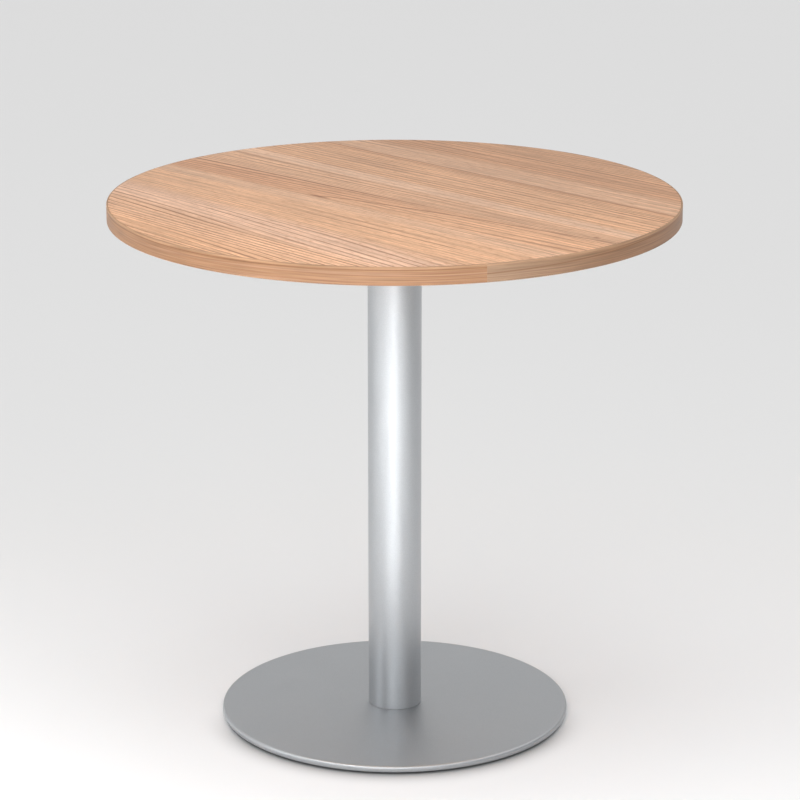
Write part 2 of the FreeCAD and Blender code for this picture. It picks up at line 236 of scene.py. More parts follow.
    # the lines and flecks that the eye picks out one by one
    for middle, halfWidth, depth, start, fading, end in look["lines"]:
        off = add(tree, "Math", {0: bent, 1: middle}, operation="SUBTRACT")
        off = add(tree, "Math", {0: off}, operation="ABSOLUTE")
        mark = add(tree, "MapRange", {"Value": off, "From Max": halfWidth, "To Min": depth, "To Max": 0},
                   interpolation_type="SMOOTHSTEP")
        begun = add(tree, "MapRange", {"Value": along, "From Min": start - look["lineStart"],
                                       "From Max": start + look["lineStart"]})
        gone = add(tree, "MapRange", {"Value": along, "From Min": fading, "From Max": end,
                                      "To Min": 1, "To Max": 0})
        mark = add(tree, "Math", {0: mark, 1: begun}, operation="MULTIPLY")
        mark = add(tree, "Math", {0: mark, 1: gone}, operation="MULTIPLY")
        dark = add(tree, "Math", {0: dark, 1: mark}, operation="MAXIMUM")
    flat = add(tree, "CombineXYZ", {"X": along, "Y": bare})
    for fleckAlong, fleckAcross, halfLength, halfWidth, depth in look["flecks"]:
        off = add(tree, "VectorMath", {0: flat, 1: (fleckAlong, fleckAcross, 0)}, operation="SUBTRACT")
        off = add(tree, "VectorMath", {0: off, 1: (1 / halfLength, 1 / halfWidth, 0)}, operation="MULTIPLY")
        off = add(tree, "VectorMath", {0: off}, operation="LENGTH")
        mark = add(tree, "MapRange", {"Value": off, "From Max": 1, "To Min": depth, "To Max": 0},
                   interpolation_type="SMOOTHSTEP")
        dark = add(tree, "Math", {0: dark, 1: mark}, operation="MAXIMUM")

    # short pores, drawn twice as wide as real ones so that they show
    pore = look["pores"]
    length, width = pore["size"]
    poreScale = add(tree, "Mapping", {"Vector": bentPlace, "Scale": (1 / length, 1 / width, 0)})
    pores = add(tree, "TexNoise", {"Vector": poreScale, "Scale": 1, "Detail": 1}, noise_dimensions="2D")
    pores = add(tree, "MapRange", {"Value": pores, "From Min": pore["noise"][0], "From Max": pore["noise"][1],
                                   "To Max": pore["depth"]})

    colour = add(tree, "Mix", {0: pores, "A": tone, "B": linear(look["poreTone"])}, data_type="RGBA")
    colour = add(tree, "Mix", {0: dark, "A": colour, "B": linear(look["lineTone"])}, data_type="RGBA")
    strength, depth = look["emboss"]
    depthMap = add(tree, "Math", {0: pores, 1: -1.0}, operation="MULTIPLY")
    emboss = add(tree, "Bump", {"Strength": strength, "Distance": depth * mm, "Height": depthMap})
    gloss = add(tree, "MapRange", {"Value": pores, "To Min": look["gloss"][0], "To Max": look["gloss"][1]})
    shader = add(tree, "BsdfPrincipled", {"Base Color": colour, "Roughness": gloss, "Normal": emboss,
                                          "IOR": 1.5})
    add(tree, "OutputMaterial", {"Surface": shader})
    return material


# Plastic edging printed with the same decor: long level streaks and one brown line near the upper edge.
# Right of the joint the strip is darker, partly its own print and partly painted shade on the side away from the
# light, and lighter again at its very end.
edgeDecor = {
    "jointAzimuth": -72.8,    # degrees, where the two ends of the strip meet
    "radius": 400,
    "topLevel": 760,
    "drift": (420, 30, 2),    # length and width of the slow noise, and how far it bends the streaks
    "broad": (420, 7),        # length and width of the broad streaks
    "broadNoise": (0.3, 0.7),
    # the same decor drawn darker than on the top: painted shade, as the upright band catches less light
    "tones": [(0, "#A37959"), (0.35, "#AA8263"), (0.7, "#A17758"), (1, "#AB8467")],
    # darker after the joint: partly the strip's own print, partly painted shade round the right side
    "darker": {"tone": "#896A53", "length": 1000, "share": 0.95},
    "veryEnd": {"tone": "#A2846B", "length": 190},
    # painted highlight: the rounded upper edge is drawn lighter, where it catches the light
    "paintedRimHighlight": {"tone": "#BE9877", "levels": (2, 4), "share": 0.6},  # the rounded upper edge
    "fine": (90, 1.6),        # length and width of the fine streaks
    "fineTone": (0.8, 1.2),   # darkest and lightest
    "line": {"tone": "#7A5030", "halfWidth": 1.3, "depth": 0.6},
    "lineRise": {"length": 420, "levels": (13, 2.5)},  # below the top, at the joint and after it
    "lineSink": {"along": (-400, 400), "by": 2},       # it sinks a little on its way round
    "emboss": (0.4, 0.04),    # strength, depth
    "gloss": (0.38, 0.52),
}


def makeEdgeDecor():
    look = edgeDecor
    material, tree = newTree("edgeDecorPlastic")
    joint = -math.pi * look["radius"]  # along the strip, which runs from here to the other end
    place = add(tree, "TexCoord").outputs["Object"]
    turned = add(tree, "Mapping", {"Vector": place, "Scale": perMm,
                                   "Rotation": (0, 0, math.radians(180 - look["jointAzimuth"]))})
    axes = add(tree, "SeparateXYZ", {0: turned})
    angle = add(tree, "Math", {0: axes.outputs["Y"], 1: axes.outputs["X"]}, operation="ARCTAN2")
    along = add(tree, "Math", {0: angle, 1: look["radius"]}, operation="MULTIPLY")
    below = add(tree, "Math", {0: look["topLevel"], 1: axes.outputs["Z"]}, operation="SUBTRACT")
    strip = add(tree, "CombineXYZ", {"X": along, "Y": below})

    length, width, bend = look["drift"]
    slow = add(tree, "Mapping", {"Vector": strip, "Scale": (1 / length, 1 / width, 0)})
    drift = add(tree, "TexNoise", {"Vector": slow, "Scale": 1, "Detail": 1}, noise_dimensions="2D")
    drift = add(tree, "MapRange", {"Value": drift, "From Min": noiseLow, "From Max": noiseHigh,
                                   "To Min": -bend, "To Max": bend}, clamp=False)
    bent = add(tree, "Math", {0: below, 1: drift}, operation="ADD")
    bentStrip = add(tree, "CombineXYZ", {"X": along, "Y": bent})
    length, width = look["broad"]
    broad = add(tree, "Mapping", {"Vector": bentStrip, "Scale": (1 / length, 1 / width, 0)})
    broad = add(tree, "TexNoise", {"Vector": broad, "Scale": 1, "Detail": 2}, noise_dimensions="2D")
    broad = add(tree, "MapRange", {"Value": broad, "From Min": look["broadNoise"][0],
                                   "From Max": look["broadNoise"][1]})
    tone = add(tree, "ValToRGB", {0: broad}, look["tones"])

    darker, veryEnd, paintedRimHighlight = look["darker"], look["veryEnd"], look["paintedRimHighlight"]
    # darker from the joint round the right side: the strip's own print and painted shade
    jointPrintAndShade = add(tree, "MapRange", {"Value": along, "From Min": joint, "From Max": joint + darker["length"],
                                       "To Min": darker["share"], "To Max": 0})
    tone = add(tree, "Mix", {0: jointPrintAndShade, "A": tone, "B": linear(darker["tone"])}, data_type="RGBA")
    atJoint = add(tree, "MapRange", {"Value": along, "From Min": joint, "From Max": joint + veryEnd["length"],
                                     "To Min": 1, "To Max": 0})
    tone = add(tree, "Mix", {0: atJoint, "A": tone, "B": linear(veryEnd["tone"])}, data_type="RGBA")
    # painted highlight on the rounded upper edge
    roundingHighlightMask = add(tree, "MapRange", {"Value": below, "From Min": paintedRimHighlight["levels"][0],
                                        "From Max": paintedRimHighlight["levels"][1], "To Min": paintedRimHighlight["share"], "To Max": 0})
    tone = add(tree, "Mix", {0: roundingHighlightMask, "A": tone, "B": linear(paintedRimHighlight["tone"])}, data_type="RGBA")

    length, width = look["fine"]
    fine = add(tree, "Mapping", {"Vector": bentStrip, "Scale": (1 / length, 1 / width, 0)})
    fine = add(tree, "TexNoise", {"Vector": fine, "Scale": 1, "Detail": 2}, noise_dimensions="2D")
    streak = add(tree, "MapRange", {"Value": fine, "From Min": noiseLow, "From Max": noiseHigh,
                                    "To Min": look["fineTone"][0], "To Max": look["fineTone"][1]}, clamp=False)
    tone = add(tree, "VectorMath", {0: tone, 1: streak}, operation="MULTIPLY")

    # the brown line rises after the joint and then keeps its place under the rounding
    line, rise, sink = look["line"], look["lineRise"], look["lineSink"]
    course = add(tree, "MapRange", {"Value": along, "From Min": joint, "From Max": joint + rise["length"],
                                    "To Min": rise["levels"][0], "To Max": rise["levels"][1]})
    sunk = add(tree, "MapRange", {"Value": along, "From Min": sink["along"][0], "From Max": sink["along"][1],
                                  "To Max": sink["by"]})
    course = add(tree, "Math", {0: course, 1: sunk}, operation="ADD")
    off = add(tree, "Math", {0: below, 1: course}, operation="SUBTRACT")
    off = add(tree, "Math", {0: off}, operation="ABSOLUTE")
    mark = add(tree, "MapRange", {"Value": off, "From Max": line["halfWidth"], "To Min": line["depth"],
                                  "To Max": 0}, interpolation_type="SMOOTHSTEP")
    colour = add(tree, "Mix", {0: mark, "A": tone, "B": linear(line["tone"])}, data_type="RGBA")
    gloss = add(tree, "MapRange", {"Value": fine, "To Min": look["gloss"][0], "To Max": look["gloss"][1]})
    strength, depth = look["emboss"]
    emboss = add(tree, "Bump", {"Strength": strength, "Distance": depth * mm, "Height": fine})
    shader = add(tree, "BsdfPrincipled", {"Base Color": colour, "Roughness": gloss, "Normal": emboss,
                                          "IOR": 1.5, "Specular IOR Level": 0.25})
    add(tree, "OutputMaterial", {"Surface": shader})
    return material


# Silver powder coat: polyester with aluminium flake, stoved. It gives a satin metal sheen,
# a faint orange peel and a fine sparkle.
powderCoat = {
    "tone": "#BABDC0",
    "flakeTone": "#C5C8CB",
    "flakeSize": 0.9,         # real flake is about 0.05, drawn coarser so that it shows
    "flakeNoise": (0.35, 0.7),
    "cloudSize": 60,          # the gloss changes slowly over the surface
    "cloudNoise": (0.3, 0.7),
    "gloss": (0.38, 0.43),
    "peelSize": 2.5,
    "peel": (0.25, 0.03),     # strength, depth
}


def makePowderCoat():
    look = powderCoat
    material, tree = newTree("silverPowderCoat")
    place = add(tree, "TexCoord").outputs["Object"]
    size = add(tree, "Mapping", {"Vector": place, "Scale": perMm})
    flake = add(tree, "TexNoise", {"Vector": size, "Scale": 1 / look["flakeSize"], "Detail": 2})
    sparkle = add(tree, "MapRange", {"Value": flake, "From Min": look["flakeNoise"][0],
                                     "From Max": look["flakeNoise"][1]})
    colour = add(tree, "Mix", {0: sparkle, "A": linear(look["tone"]), "B": linear(look["flakeTone"])},
                 data_type="RGBA")
    cloud = add(tree, "TexNoise", {"Vector": size, "Scale": 1 / look["cloudSize"], "Detail": 2})
    gloss = add(tree, "MapRange", {"Value": cloud, "From Min": look["cloudNoise"][0],
                                   "From Max": look["cloudNoise"][1],
                                   "To Min": look["gloss"][0], "To Max": look["gloss"][1]})
    strength, depth = look["peel"]
    peel = add(tree, "TexNoise", {"Vector": size, "Scale": 1 / look["peelSize"], "Detail": 1})
    dimple = add(tree, "Bump", {"Strength": strength, "Distance": depth * mm, "Height": peel})
    shader = add(tree, "BsdfPrincipled", {"Base Color": colour, "Roughness": gloss, "Normal": dimple,
                                          "Metallic": 1.0})
    add(tree, "OutputMaterial", {"Surface": shader})
    return material


# Chipboard: wood chips pressed flat with resin. It gives a straw ground with darker chips lying in the board.
chipboard = {
    "tones": [(0, "#8C6A43"), (0.3, "#B8935F"), (0.65, "#CDAE7D"), (1, "#DCC497")],
    "chipLength": 6,
    "chipThickness": 1.6,
    "relief": (0.5, 0.2),     # strength, depth
    "gloss": (0.75, 0.9),
}


def makeChipboard():
    look = chipboard
    material, tree = newTree("pressedChipboard")
    place = add(tree, "TexCoord").outputs["Object"]
    lying, standing = 1 / look["chipLength"] / mm, 1 / look["chipThickness"] / mm
    size = add(tree, "Mapping", {"Vector": place, "Scale": (lying, lying, standing)})
    chips = add(tree, "TexVoronoi", {"Vector": size, "Scale": 1})
    pick = add(tree, "SeparateXYZ", {0: chips.outputs["Color"]})
    colour = add(tree, "ValToRGB", {0: pick.outputs["X"]}, look["tones"])
    strength, depth = look["relief"]
    edges = add(tree, "Math", {0: chips.outputs["Distance"], 1: -1.0}, operation="MULTIPLY")
    relief = add(tree, "Bump", {"Strength": strength, "Distance": depth * mm, "Height": edges})
    gloss = add(tree, "MapRange", {"Value": pick.outputs["Y"], "To Min": look["gloss"][0],
                                   "To Max": look["gloss"][1]})
    shader = add(tree, "BsdfPrincipled", {"Base Color": colour, "Roughness": gloss, "Normal": relief,
                                          "IOR": 1.5})
    add(tree, "OutputMaterial", {"Surface": shader})
    return material


# Zinc plated steel: electroplated and blue passivated. It gives a bright grey with a faint blue and straw tint.
zincPlate = {
    "tones": [(0.2, "#B4BAC2"), (0.5, "#C2C5C8"), (0.8, "#C9C6BC")],
    "tintSize": 7,
    "grainSize": 0.8,
    "ringed": False,
    "gloss": (0.3, 0.06),     # middle, and how far it changes
    "relief": (0.3, 0.02),    # strength, depth
}

# Bare steel: turned on the lathe and lightly oiled. It gives a darker grey with fine rings round the middle.
bareSteel = {
    "tones": [(0.2, "#85868A"), (0.5, "#97979A"), (0.8, "#9E9B96")],
    "tintSize": 14,
    "grainSize": 1.0,         # real rings are about 0.2, drawn coarser so that they show
    "ringed": True,
    "gloss": (0.36, 0.06),
    "relief": (0.3, 0.02),
}


def makeSteel(name, look):
    material, tree = newTree(name)
    place = add(tree, "TexCoord").outputs["Object"]
    size = add(tree, "Mapping", {"Vector": place, "Scale": perMm})
    tint = add(tree, "TexNoise", {"Vector": size, "Scale": 1 / look["tintSize"], "Detail": 2})
    colour = add(tree, "ValToRGB", {0: tint}, look["tones"])
    scale = 1 / look["grainSize"]
    if look["ringed"]:
        axes = add(tree, "SeparateXYZ", {0: size})
        flat = add(tree, "CombineXYZ", {"X": axes.outputs["X"], "Y": axes.outputs["Y"]})
        away = add(tree, "VectorMath", {0: flat}, operation="LENGTH")
        grain = add(tree, "TexNoise", {"W": away, "Scale": scale, "Detail": 2}, noise_dimensions="1D")
    else:
        grain = add(tree, "TexNoise", {"Vector": size, "Scale": scale, "Detail": 2})
    gloss, change = look["gloss"]
    satin = add(tree, "MapRange", {"Value": grain, "To Min": gloss - change, "To Max": gloss + change})
    strength, depth = look["relief"]
    relief = add(tree, "Bump", {"Strength": strength, "Distance": depth * mm, "Height": grain})
    shader = add(tree, "BsdfPrincipled", {"Base Color": colour, "Roughness": satin, "Normal": relief,
                                          "Metallic": 1.0})
    add(tree, "OutputMaterial", {"Surface": shader})
    return material


# Black polyamide: injection moulded in an eroded tool. It gives a near black with a fine matt grain.
polyamide = {
    "tone": "#1C1C1E",
    "rubbedTone": "#2C2C2E",
    "rubbedSize": 12,
    "rubbedNoise": (0.45, 0.7),
    "grainSize": 0.7,
    "gloss": (0.5, 0.68),
    "relief": (0.35, 0.03),   # strength, depth
}


def makePolyamide():
    look = polyamide
    material, tree = newTree("blackPolyamide")
    place = add(tree, "TexCoord").outputs["Object"]
    size = add(tree, "Mapping", {"Vector": place, "Scale": perMm})
    grain = add(tree, "TexNoise", {"Vector": size, "Scale": 1 / look["grainSize"], "Detail": 2})
    rubbed = add(tree, "TexNoise", {"Vector": size, "Scale": 1 / look["rubbedSize"], "Detail": 3})
    rubbed = add(tree, "MapRange", {"Value": rubbed, "From Min": look["rubbedNoise"][0],
                                    "From Max": look["rubbedNoise"][1]})
    colour = add(tree, "Mix", {0: rubbed, "A": linear(look["tone"]), "B": linear(look["rubbedTone"])},
                 data_type="RGBA")
    gloss = add(tree, "MapRange", {"Value": grain, "To Min": look["gloss"][0], "To Max": look["gloss"][1]})
    strength, depth = look["relief"]
    relief = add(tree, "Bump", {"Strength": strength, "Distance": depth * mm, "Height": grain})
    shader = add(tree, "BsdfPrincipled", {"Base Color": colour, "Roughness": gloss, "Normal": relief,
                                          "IOR": 1.53})
    add(tree, "OutputMaterial", {"Surface": shader})
    return material


walnutMaterial = makeWalnut("walnutDecorMelamine", (0, 0))
undersideMaterial = makeWalnut("walnutDecorBackingMelamine", walnutDecor["backingCut"])
edgeMaterial = makeEdgeDecor()
coatMaterial = makePowderCoat()
chipMaterial = makeChipboard()
zincMaterial = makeSteel("zincPlatedSteel", zincPlate)
steelMaterial = makeSteel("turnedBareSteel", bareSteel)
padMaterial = makePolyamide()
print("materials made")

# How meshes are closed and shaded
meshing = {
    "merge": 0.001 * mm,      # points nearer than this are one
    "level": 0.01 * mm,       # edges nearer than this to a level lie on it
    "sharpAngle": 25,         # degrees, past which an edge is drawn sharp
}


def finishPiece(name, mesh, body, material, replaced):
    # closes seams, turns the faces outwards and hangs the piece on its body in place of the CAD node
    bmesh.ops.remove_doubles(mesh, verts=mesh.verts, dist=meshing["merge"])
    bmesh.ops.recalc_face_normals(mesh, faces=mesh.faces)
    for face in mesh.faces:
        face.smooth = True
    data = bpy.data.meshes.new(name)
    mesh.to_mesh(data)
    mesh.free()
    data.set_sharp_from_angle(angle=math.radians(meshing["sharpAngle"]))
    data.materials.append(material)
    piece = bpy.data.objects.new(name, data)
    bpy.context.scene.collection.objects.link(piece)
    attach(piece, body)
    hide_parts(replaced)
    return piece


# Upper facing: a thin round sheet whose rim is eased where it meets the edging
upperFacing = {"segments": 288, "rimEase": 0.15 * mm, "easeSegments": 2}


def makeUpperFacing():
    look = upperFacing
    low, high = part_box("tabletop_upper_facing")
    mesh = bmesh.new()
    bmesh.ops.create_circle(mesh, cap_ends=True, segments=look["segments"], radius=high.x,
                            matrix=Matrix.Translation((0, 0, low.z)))
    grown = bmesh.ops.extrude_face_region(mesh, geom=mesh.faces[:], use_keep_orig=True)["geom"]
    lifted = [v for v in grown if isinstance(v, bmesh.types.BMVert)]
    bmesh.ops.translate(mesh, verts=lifted, vec=(0, 0, high.z - low.z))
    rim = [e for e in mesh.edges if all(v in lifted for v in e.verts)]
    bmesh.ops.bevel(mesh, geom=rim, offset=look["rimEase"], affect="EDGES", segments=look["easeSegments"],
                    profile=0.5, material=-1)
    return finishPiece("upper_facing_sheet", mesh, "table", walnutMaterial,
                       "tabletop_upper_facing")


# Edging: one strip bent round the board, its outer edges milled round, its two ends butted
edgeStrip = {"rounding": 1.8 * mm, "roundingSegments": 6, "joint": 0.12 * mm, "steps": 300}


def makeEdgeStrip():
    look = edgeStrip
    low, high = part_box("edge_band")
    outer = high.x
    inner = min(math.hypot(v.co.x, v.co.y) for v in cadNodes["edge_band"].data.vertices)
    mesh = bmesh.new()
    corners = [mesh.verts.new((r, 0, z)) for r, z in
               ((inner, low.z), (outer, low.z), (outer, high.z), (inner, high.z))]
    mesh.faces.new(corners)
    bmesh.ops.bevel(mesh, geom=corners[1:3], offset=look["rounding"], affect="VERTICES",
                    segments=look["roundingSegments"], profile=0.5, material=-1)
    bmesh.ops.delete(mesh, geom=mesh.faces[:], context="FACES_ONLY")
    jointTurn = math.radians(edgeDecor["jointAzimuth"])
    gapTurn = look["joint"] / outer
    bmesh.ops.rotate(mesh, verts=mesh.verts, cent=(0, 0, 0),
                     matrix=Matrix.Rotation(jointTurn + gapTurn / 2, 3, "Z"))
    bmesh.ops.spin(mesh, geom=mesh.verts[:] + mesh.edges[:], cent=(0, 0, 0), axis=(0, 0, 1),
                   angle=2 * math.pi - gapTurn, steps=look["steps"], use_merge=False)
    bmesh.ops.holes_fill(mesh, edges=[e for e in mesh.edges if e.is_boundary], sides=0)
    return finishPiece("edge_band_strip", mesh, "table", edgeMaterial, "edge_band")


# Column: welded round tube, ends cut square and eased, coated all over
columnTube = {"wall": 2 * mm, "endEase": 0.8 * mm, "easeSegments": 3, "segments": 160}


def makeColumn():
    look = columnTube
    low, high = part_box("column_tube")
    inner = high.x - look["wall"]
    mesh = bmesh.new()
    corners = [mesh.verts.new((r, 0, z)) for r, z in
               ((inner, low.z), (high.x, low.z), (high.x, high.z), (inner, high.z))]
    mesh.faces.new(corners)
    bmesh.ops.bevel(mesh, geom=corners, offset=look["endEase"], affect="VERTICES",
                    segments=look["easeSegments"], profile=0.5, material=-1)
    bmesh.ops.delete(mesh, geom=mesh.faces[:], context="FACES_ONLY")
    bmesh.ops.spin(mesh, geom=mesh.verts[:] + mesh.edges[:], cent=(0, 0, 0), axis=(0, 0, 1),
                   angle=2 * math.pi, steps=look["segments"], use_merge=True)
    return finishPiece("column_tube_coated", mesh, "table", coatMaterial, "column_tube")


# Base plate: a turned steel disc with a large rounding above and a small one below, drilled from below, coated
basePlate = {
    "topRounding": 3.5 * mm,
    "bottomRounding": 1.0 * mm,
    "roundingSegments": 8,
    "flatEdge": 5 * mm,       # a narrow flat ring inside the roundings keeps their shading off the flat faces
    "segments": 288,
    "holeSegments": 40,
    "boltHead": 8 * mm,
    "boltMouth": 8.05 * mm,
    "boltSink": 0.3 * mm,
    "boltHole": 4.4 * mm,
    "glideHole": 4.05 * mm,
    "glideCover": 1.9 * mm,   # what is left above a glide's hole
}


def makeBasePlate():
    look = basePlate
    low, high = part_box("base_plate")
    flat = high.x - look["flatEdge"]
    mesh = bmesh.new()
    corners = [mesh.verts.new((r, 0, z)) for r, z in
               ((flat, low.z), (high.x, low.z), (high.x, high.z), (flat, high.z))]
    mesh.faces.new(corners)
    closing = mesh.edges.get((corners[0], corners[3]))
    for corner, rounding in ((corners[1], look["bottomRounding"]), (corners[2], look["topRounding"])):
        bmesh.ops.bevel(mesh, geom=[corner], offset=rounding, affect="VERTICES",
                        segments=look["roundingSegments"], profile=0.5, material=-1)
    bmesh.ops.delete(mesh, geom=mesh.faces[:], context="FACES_ONLY")
    bmesh.ops.delete(mesh, geom=[closing], context="EDGES")
    bmesh.ops.spin(mesh, geom=mesh.verts[:] + mesh.edges[:], cent=(0, 0, 0), axis=(0, 0, 1),
                   angle=2 * math.pi, steps=look["segments"], use_merge=True)

    # countersunk holes under the column, blind holes for the glides
    mouth, hole = look["boltMouth"], look["boltHole"]
    boltOutline = ((mouth, low.z), (mouth, low.z + look["boltSink"]),
                   (hole, low.z + look["boltSink"] + mouth - hole), (hole, high.z))
    glideTop = high.z - look["glideCover"]
    glideOutline = ((look["glideHole"], low.z), (look["glideHole"], glideTop), (0, glideTop))
    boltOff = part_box("lower_flange_bolts")[1].x - look["boltHead"]
    drilled = [(x, y, boltOutline) for x in (-boltOff, boltOff) for y in (-boltOff, boltOff)]
    for corner in glideCorners:
        middle = sum(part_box(f"glide_stud_{corner}"), Vector()) / 2
        drilled.append((middle.x, middle.y, glideOutline))
    for x, y, outline in drilled:
        points = [mesh.verts.new((x + r, y, z)) for r, z in outline]
        runs = [mesh.edges.new(pair) for pair in zip(points, points[1:])]
        bmesh.ops.spin(mesh, geom=points + runs, cent=(x, y, 0), axis=(0, 0, 1), angle=2 * math.pi,
                       steps=look["holeSegments"], use_merge=True)
    bmesh.ops.remove_doubles(mesh, verts=mesh.verts, dist=meshing["merge"])
    for level in (low.z, high.z):
        loops = [e for e in mesh.edges if e.is_boundary
                 and all(abs(v.co.z - level) < meshing["level"] for v in e.verts)]
        bmesh.ops.triangle_fill(mesh, use_beauty=True, use_dissolve=False, edges=loops, normal=(0, 0, 1))
    return finishPiece("base_plate_coated", mesh, "table", coatMaterial, "base_plate")


# Glide stud: flange, coarse metric thread and a hexagon socket below for the key
glideStud = {
    "pitch": 1.25 * mm,
    "crest": 3.98 * mm,
    "root": 3.3 * mm,
    "ridge": (0.25, 0.5625, 0.6875),  # in pitches: the groove's floor ends, the crest starts and ends
    "runIn": 1.1,             # the winding starts this many pitches below the flange's upper face
    "turns": 7,
    "stepsPerTurn": 24,
    "cutMerge": 0.0005 * mm,  # points nearer than this to a level cut lie on it
    "flangeThickness": 1.2 * mm,
    "flangeEase": 0.15 * mm,
    "easeSegments": 2,
    "flangeSegments": 48,
    "socketSides": 6,
    "socketWidth": 5 * mm,
    "socketDepth": 3 * mm,
}


def makeGlideStud(corner):
    look = glideStud
    low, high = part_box(f"glide_stud_{corner}")
    middle = (low + high) / 2
    flangeTop = low.z + look["flangeThickness"]
    pitch, crest, root = look["pitch"], look["crest"], look["root"]
    mesh = bmesh.new()

    # one groove and one ridge, wound up the stud and cut level at the flange and at the end
    first = flangeTop - look["runIn"] * pitch
    grooveEnd, crestStart, crestEnd = look["ridge"]
    outline = [mesh.verts.new((r, 0, first + z * pitch)) for r, z in
               ((root, 0), (root, grooveEnd), (crest, crestStart), (crest, crestEnd), (root, 1))]
    for a, b in zip(outline, outline[1:]):
        mesh.edges.new((a, b))
    bmesh.ops.spin(mesh, geom=mesh.verts[:] + mesh.edges[:], cent=(0, 0, 0), axis=(0, 0, 1),
                   angle=2 * math.pi * look["turns"], steps=look["stepsPerTurn"] * look["turns"],
                   dvec=(0, 0, pitch / look["stepsPerTurn"]), use_merge=False)
    bmesh.ops.remove_doubles(mesh, verts=mesh.verts, dist=meshing["merge"])
    for level, below in ((flangeTop, True), (high.z, False)):
        bmesh.ops.bisect_plane(mesh, geom=mesh.verts[:] + mesh.edges[:] + mesh.faces[:], dist=look["cutMerge"],
                               plane_co=(0, 0, level), plane_no=(0, 0, 1), clear_inner=below,
                               clear_outer=not below)
    threadFoot = [e for e in mesh.edges if e.is_boundary
                  and all(abs(v.co.z - flangeTop) < meshing["level"] for v in e.verts)]
    threadEnd = [e for e in mesh.edges if e.is_boundary and e not in threadFoot]
    bmesh.ops.holes_fill(mesh, edges=threadEnd, sides=0)

    # the flange grows from the thread's foot, and the socket goes up into it from below
    rim = bmesh.ops.create_circle(mesh, cap_ends=False, segments=look["flangeSegments"],
                                  radius=(high.x - low.x) / 2,
                                  matrix=Matrix.Translation((0, 0, flangeTop)))["verts"]
    rimEdges = list({e for v in rim for e in v.link_edges})
    bmesh.ops.bridge_loops(mesh, edges=threadFoot + rimEdges)
    grown = bmesh.ops.extrude_edge_only(mesh, edges=rimEdges)["geom"]
    lowered = [v for v in grown if isinstance(v, bmesh.types.BMVert)]
    bmesh.ops.translate(mesh, verts=lowered, vec=(0, 0, low.z - flangeTop))
    socket = bmesh.ops.create_circle(mesh, cap_ends=False, segments=look["socketSides"],
                                     radius=look["socketWidth"] / math.sqrt(3),
                                     matrix=Matrix.Translation((0, 0, low.z)))["verts"]
    bmesh.ops.subdivide_edges(mesh, edges=list({e for v in socket for e in v.link_edges}),
                              cuts=look["flangeSegments"] // look["socketSides"] - 1)
    nearAxis = {v for v in mesh.verts if v.co.z < flangeTop and v.co.to_2d().length < look["socketWidth"]}
    socketEdges = [e for e in mesh.edges if all(v in nearAxis for v in e.verts)]
    lowerEdges = [e for e in mesh.edges if e.is_boundary and e not in socketEdges]
    bmesh.ops.bridge_loops(mesh, edges=lowerEdges + socketEdges)
    grown = bmesh.ops.extrude_edge_only(mesh, edges=socketEdges)["geom"]
    raised = [v for v in grown if isinstance(v, bmesh.types.BMVert)]
    bmesh.ops.translate(mesh, verts=raised, vec=(0, 0, look["socketDepth"]))
    bmesh.ops.holes_fill(mesh, edges=[e for e in mesh.edges if e.is_boundary], sides=0)
    bmesh.ops.bevel(mesh, geom=rimEdges + lowerEdges, offset=look["flangeEase"], affect="EDGES",
                    segments=look["easeSegments"], profile=0.5, material=-1)
    bmesh.ops.translate(mesh, verts=mesh.verts, vec=(middle.x, middle.y, 0))
    return finishPiece(f"glide_stud_threaded_{corner}", mesh, f"glide_{corner}_screw",
                       zincMaterial, f"glide_stud_{corner}")


makeUpperFacing()
makeEdgeStrip()
makeColumn()
makeBasePlate()
studs = [makeGlideStud(corner) for corner in glideCorners]
print("table pieces made, stud faces:", len(studs[0].data.polygons))

# What each CAD node that stays is made of
dressed = {
    "tabletop_lower_facing": undersideMaterial, "tabletop_core": chipMaterial, "tabletop_screws": zincMaterial,
    "top_cross": coatMaterial, "upper_flange_bolts": zincMaterial, "upper_end_disc": steelMaterial,
    "lower_end_disc": steelMaterial, "lower_flange_bolts": zincMaterial,
}
for corner in glideCorners:
    dressed[f"glide_pad_{corner}"] = padMaterial
for nodeName, material in dressed.items():
    for slot in cadNodes[nodeName].material_slots:
        slot.material = material
print("CAD nodes dressed:", len(dressed))

# Studio, in metres: a pale floor, a soft dome and panels. The washes and grids light the floor in front of
# the table, which the column mirrors; the panels right and left soften what the dome leaves dark.
paleFloor = {
    "size": 60,
    "drop": 0.1 * mm,         # keeps the floor from flickering through the feet
    "tone": "#E6E6E6",
    # painted light: the floor drawn paler round the foot against the table's shade, and cooler against the warm
    # light off the wood
    "paintedLightTone": "#EAECEE",  # paler and cooler round the foot, against the warm light off the wood
    "middle": (0.2, 1.0),     # from where to where it fades
    "roughness": 0.6,
    "specular": 0.3,
    "footShade": {"reach": 0.055, "front": 0.16, "depth": 0.62, "power": 3.0},  # soft shade before the base
    "seenFront": {"fade": (-0.34, -0.62), "glow": 0.78},  # the floor under the washes, as the camera sees it
    "underBase": 0.02,        # how far inside the base's rim the floor begins to let light through
}


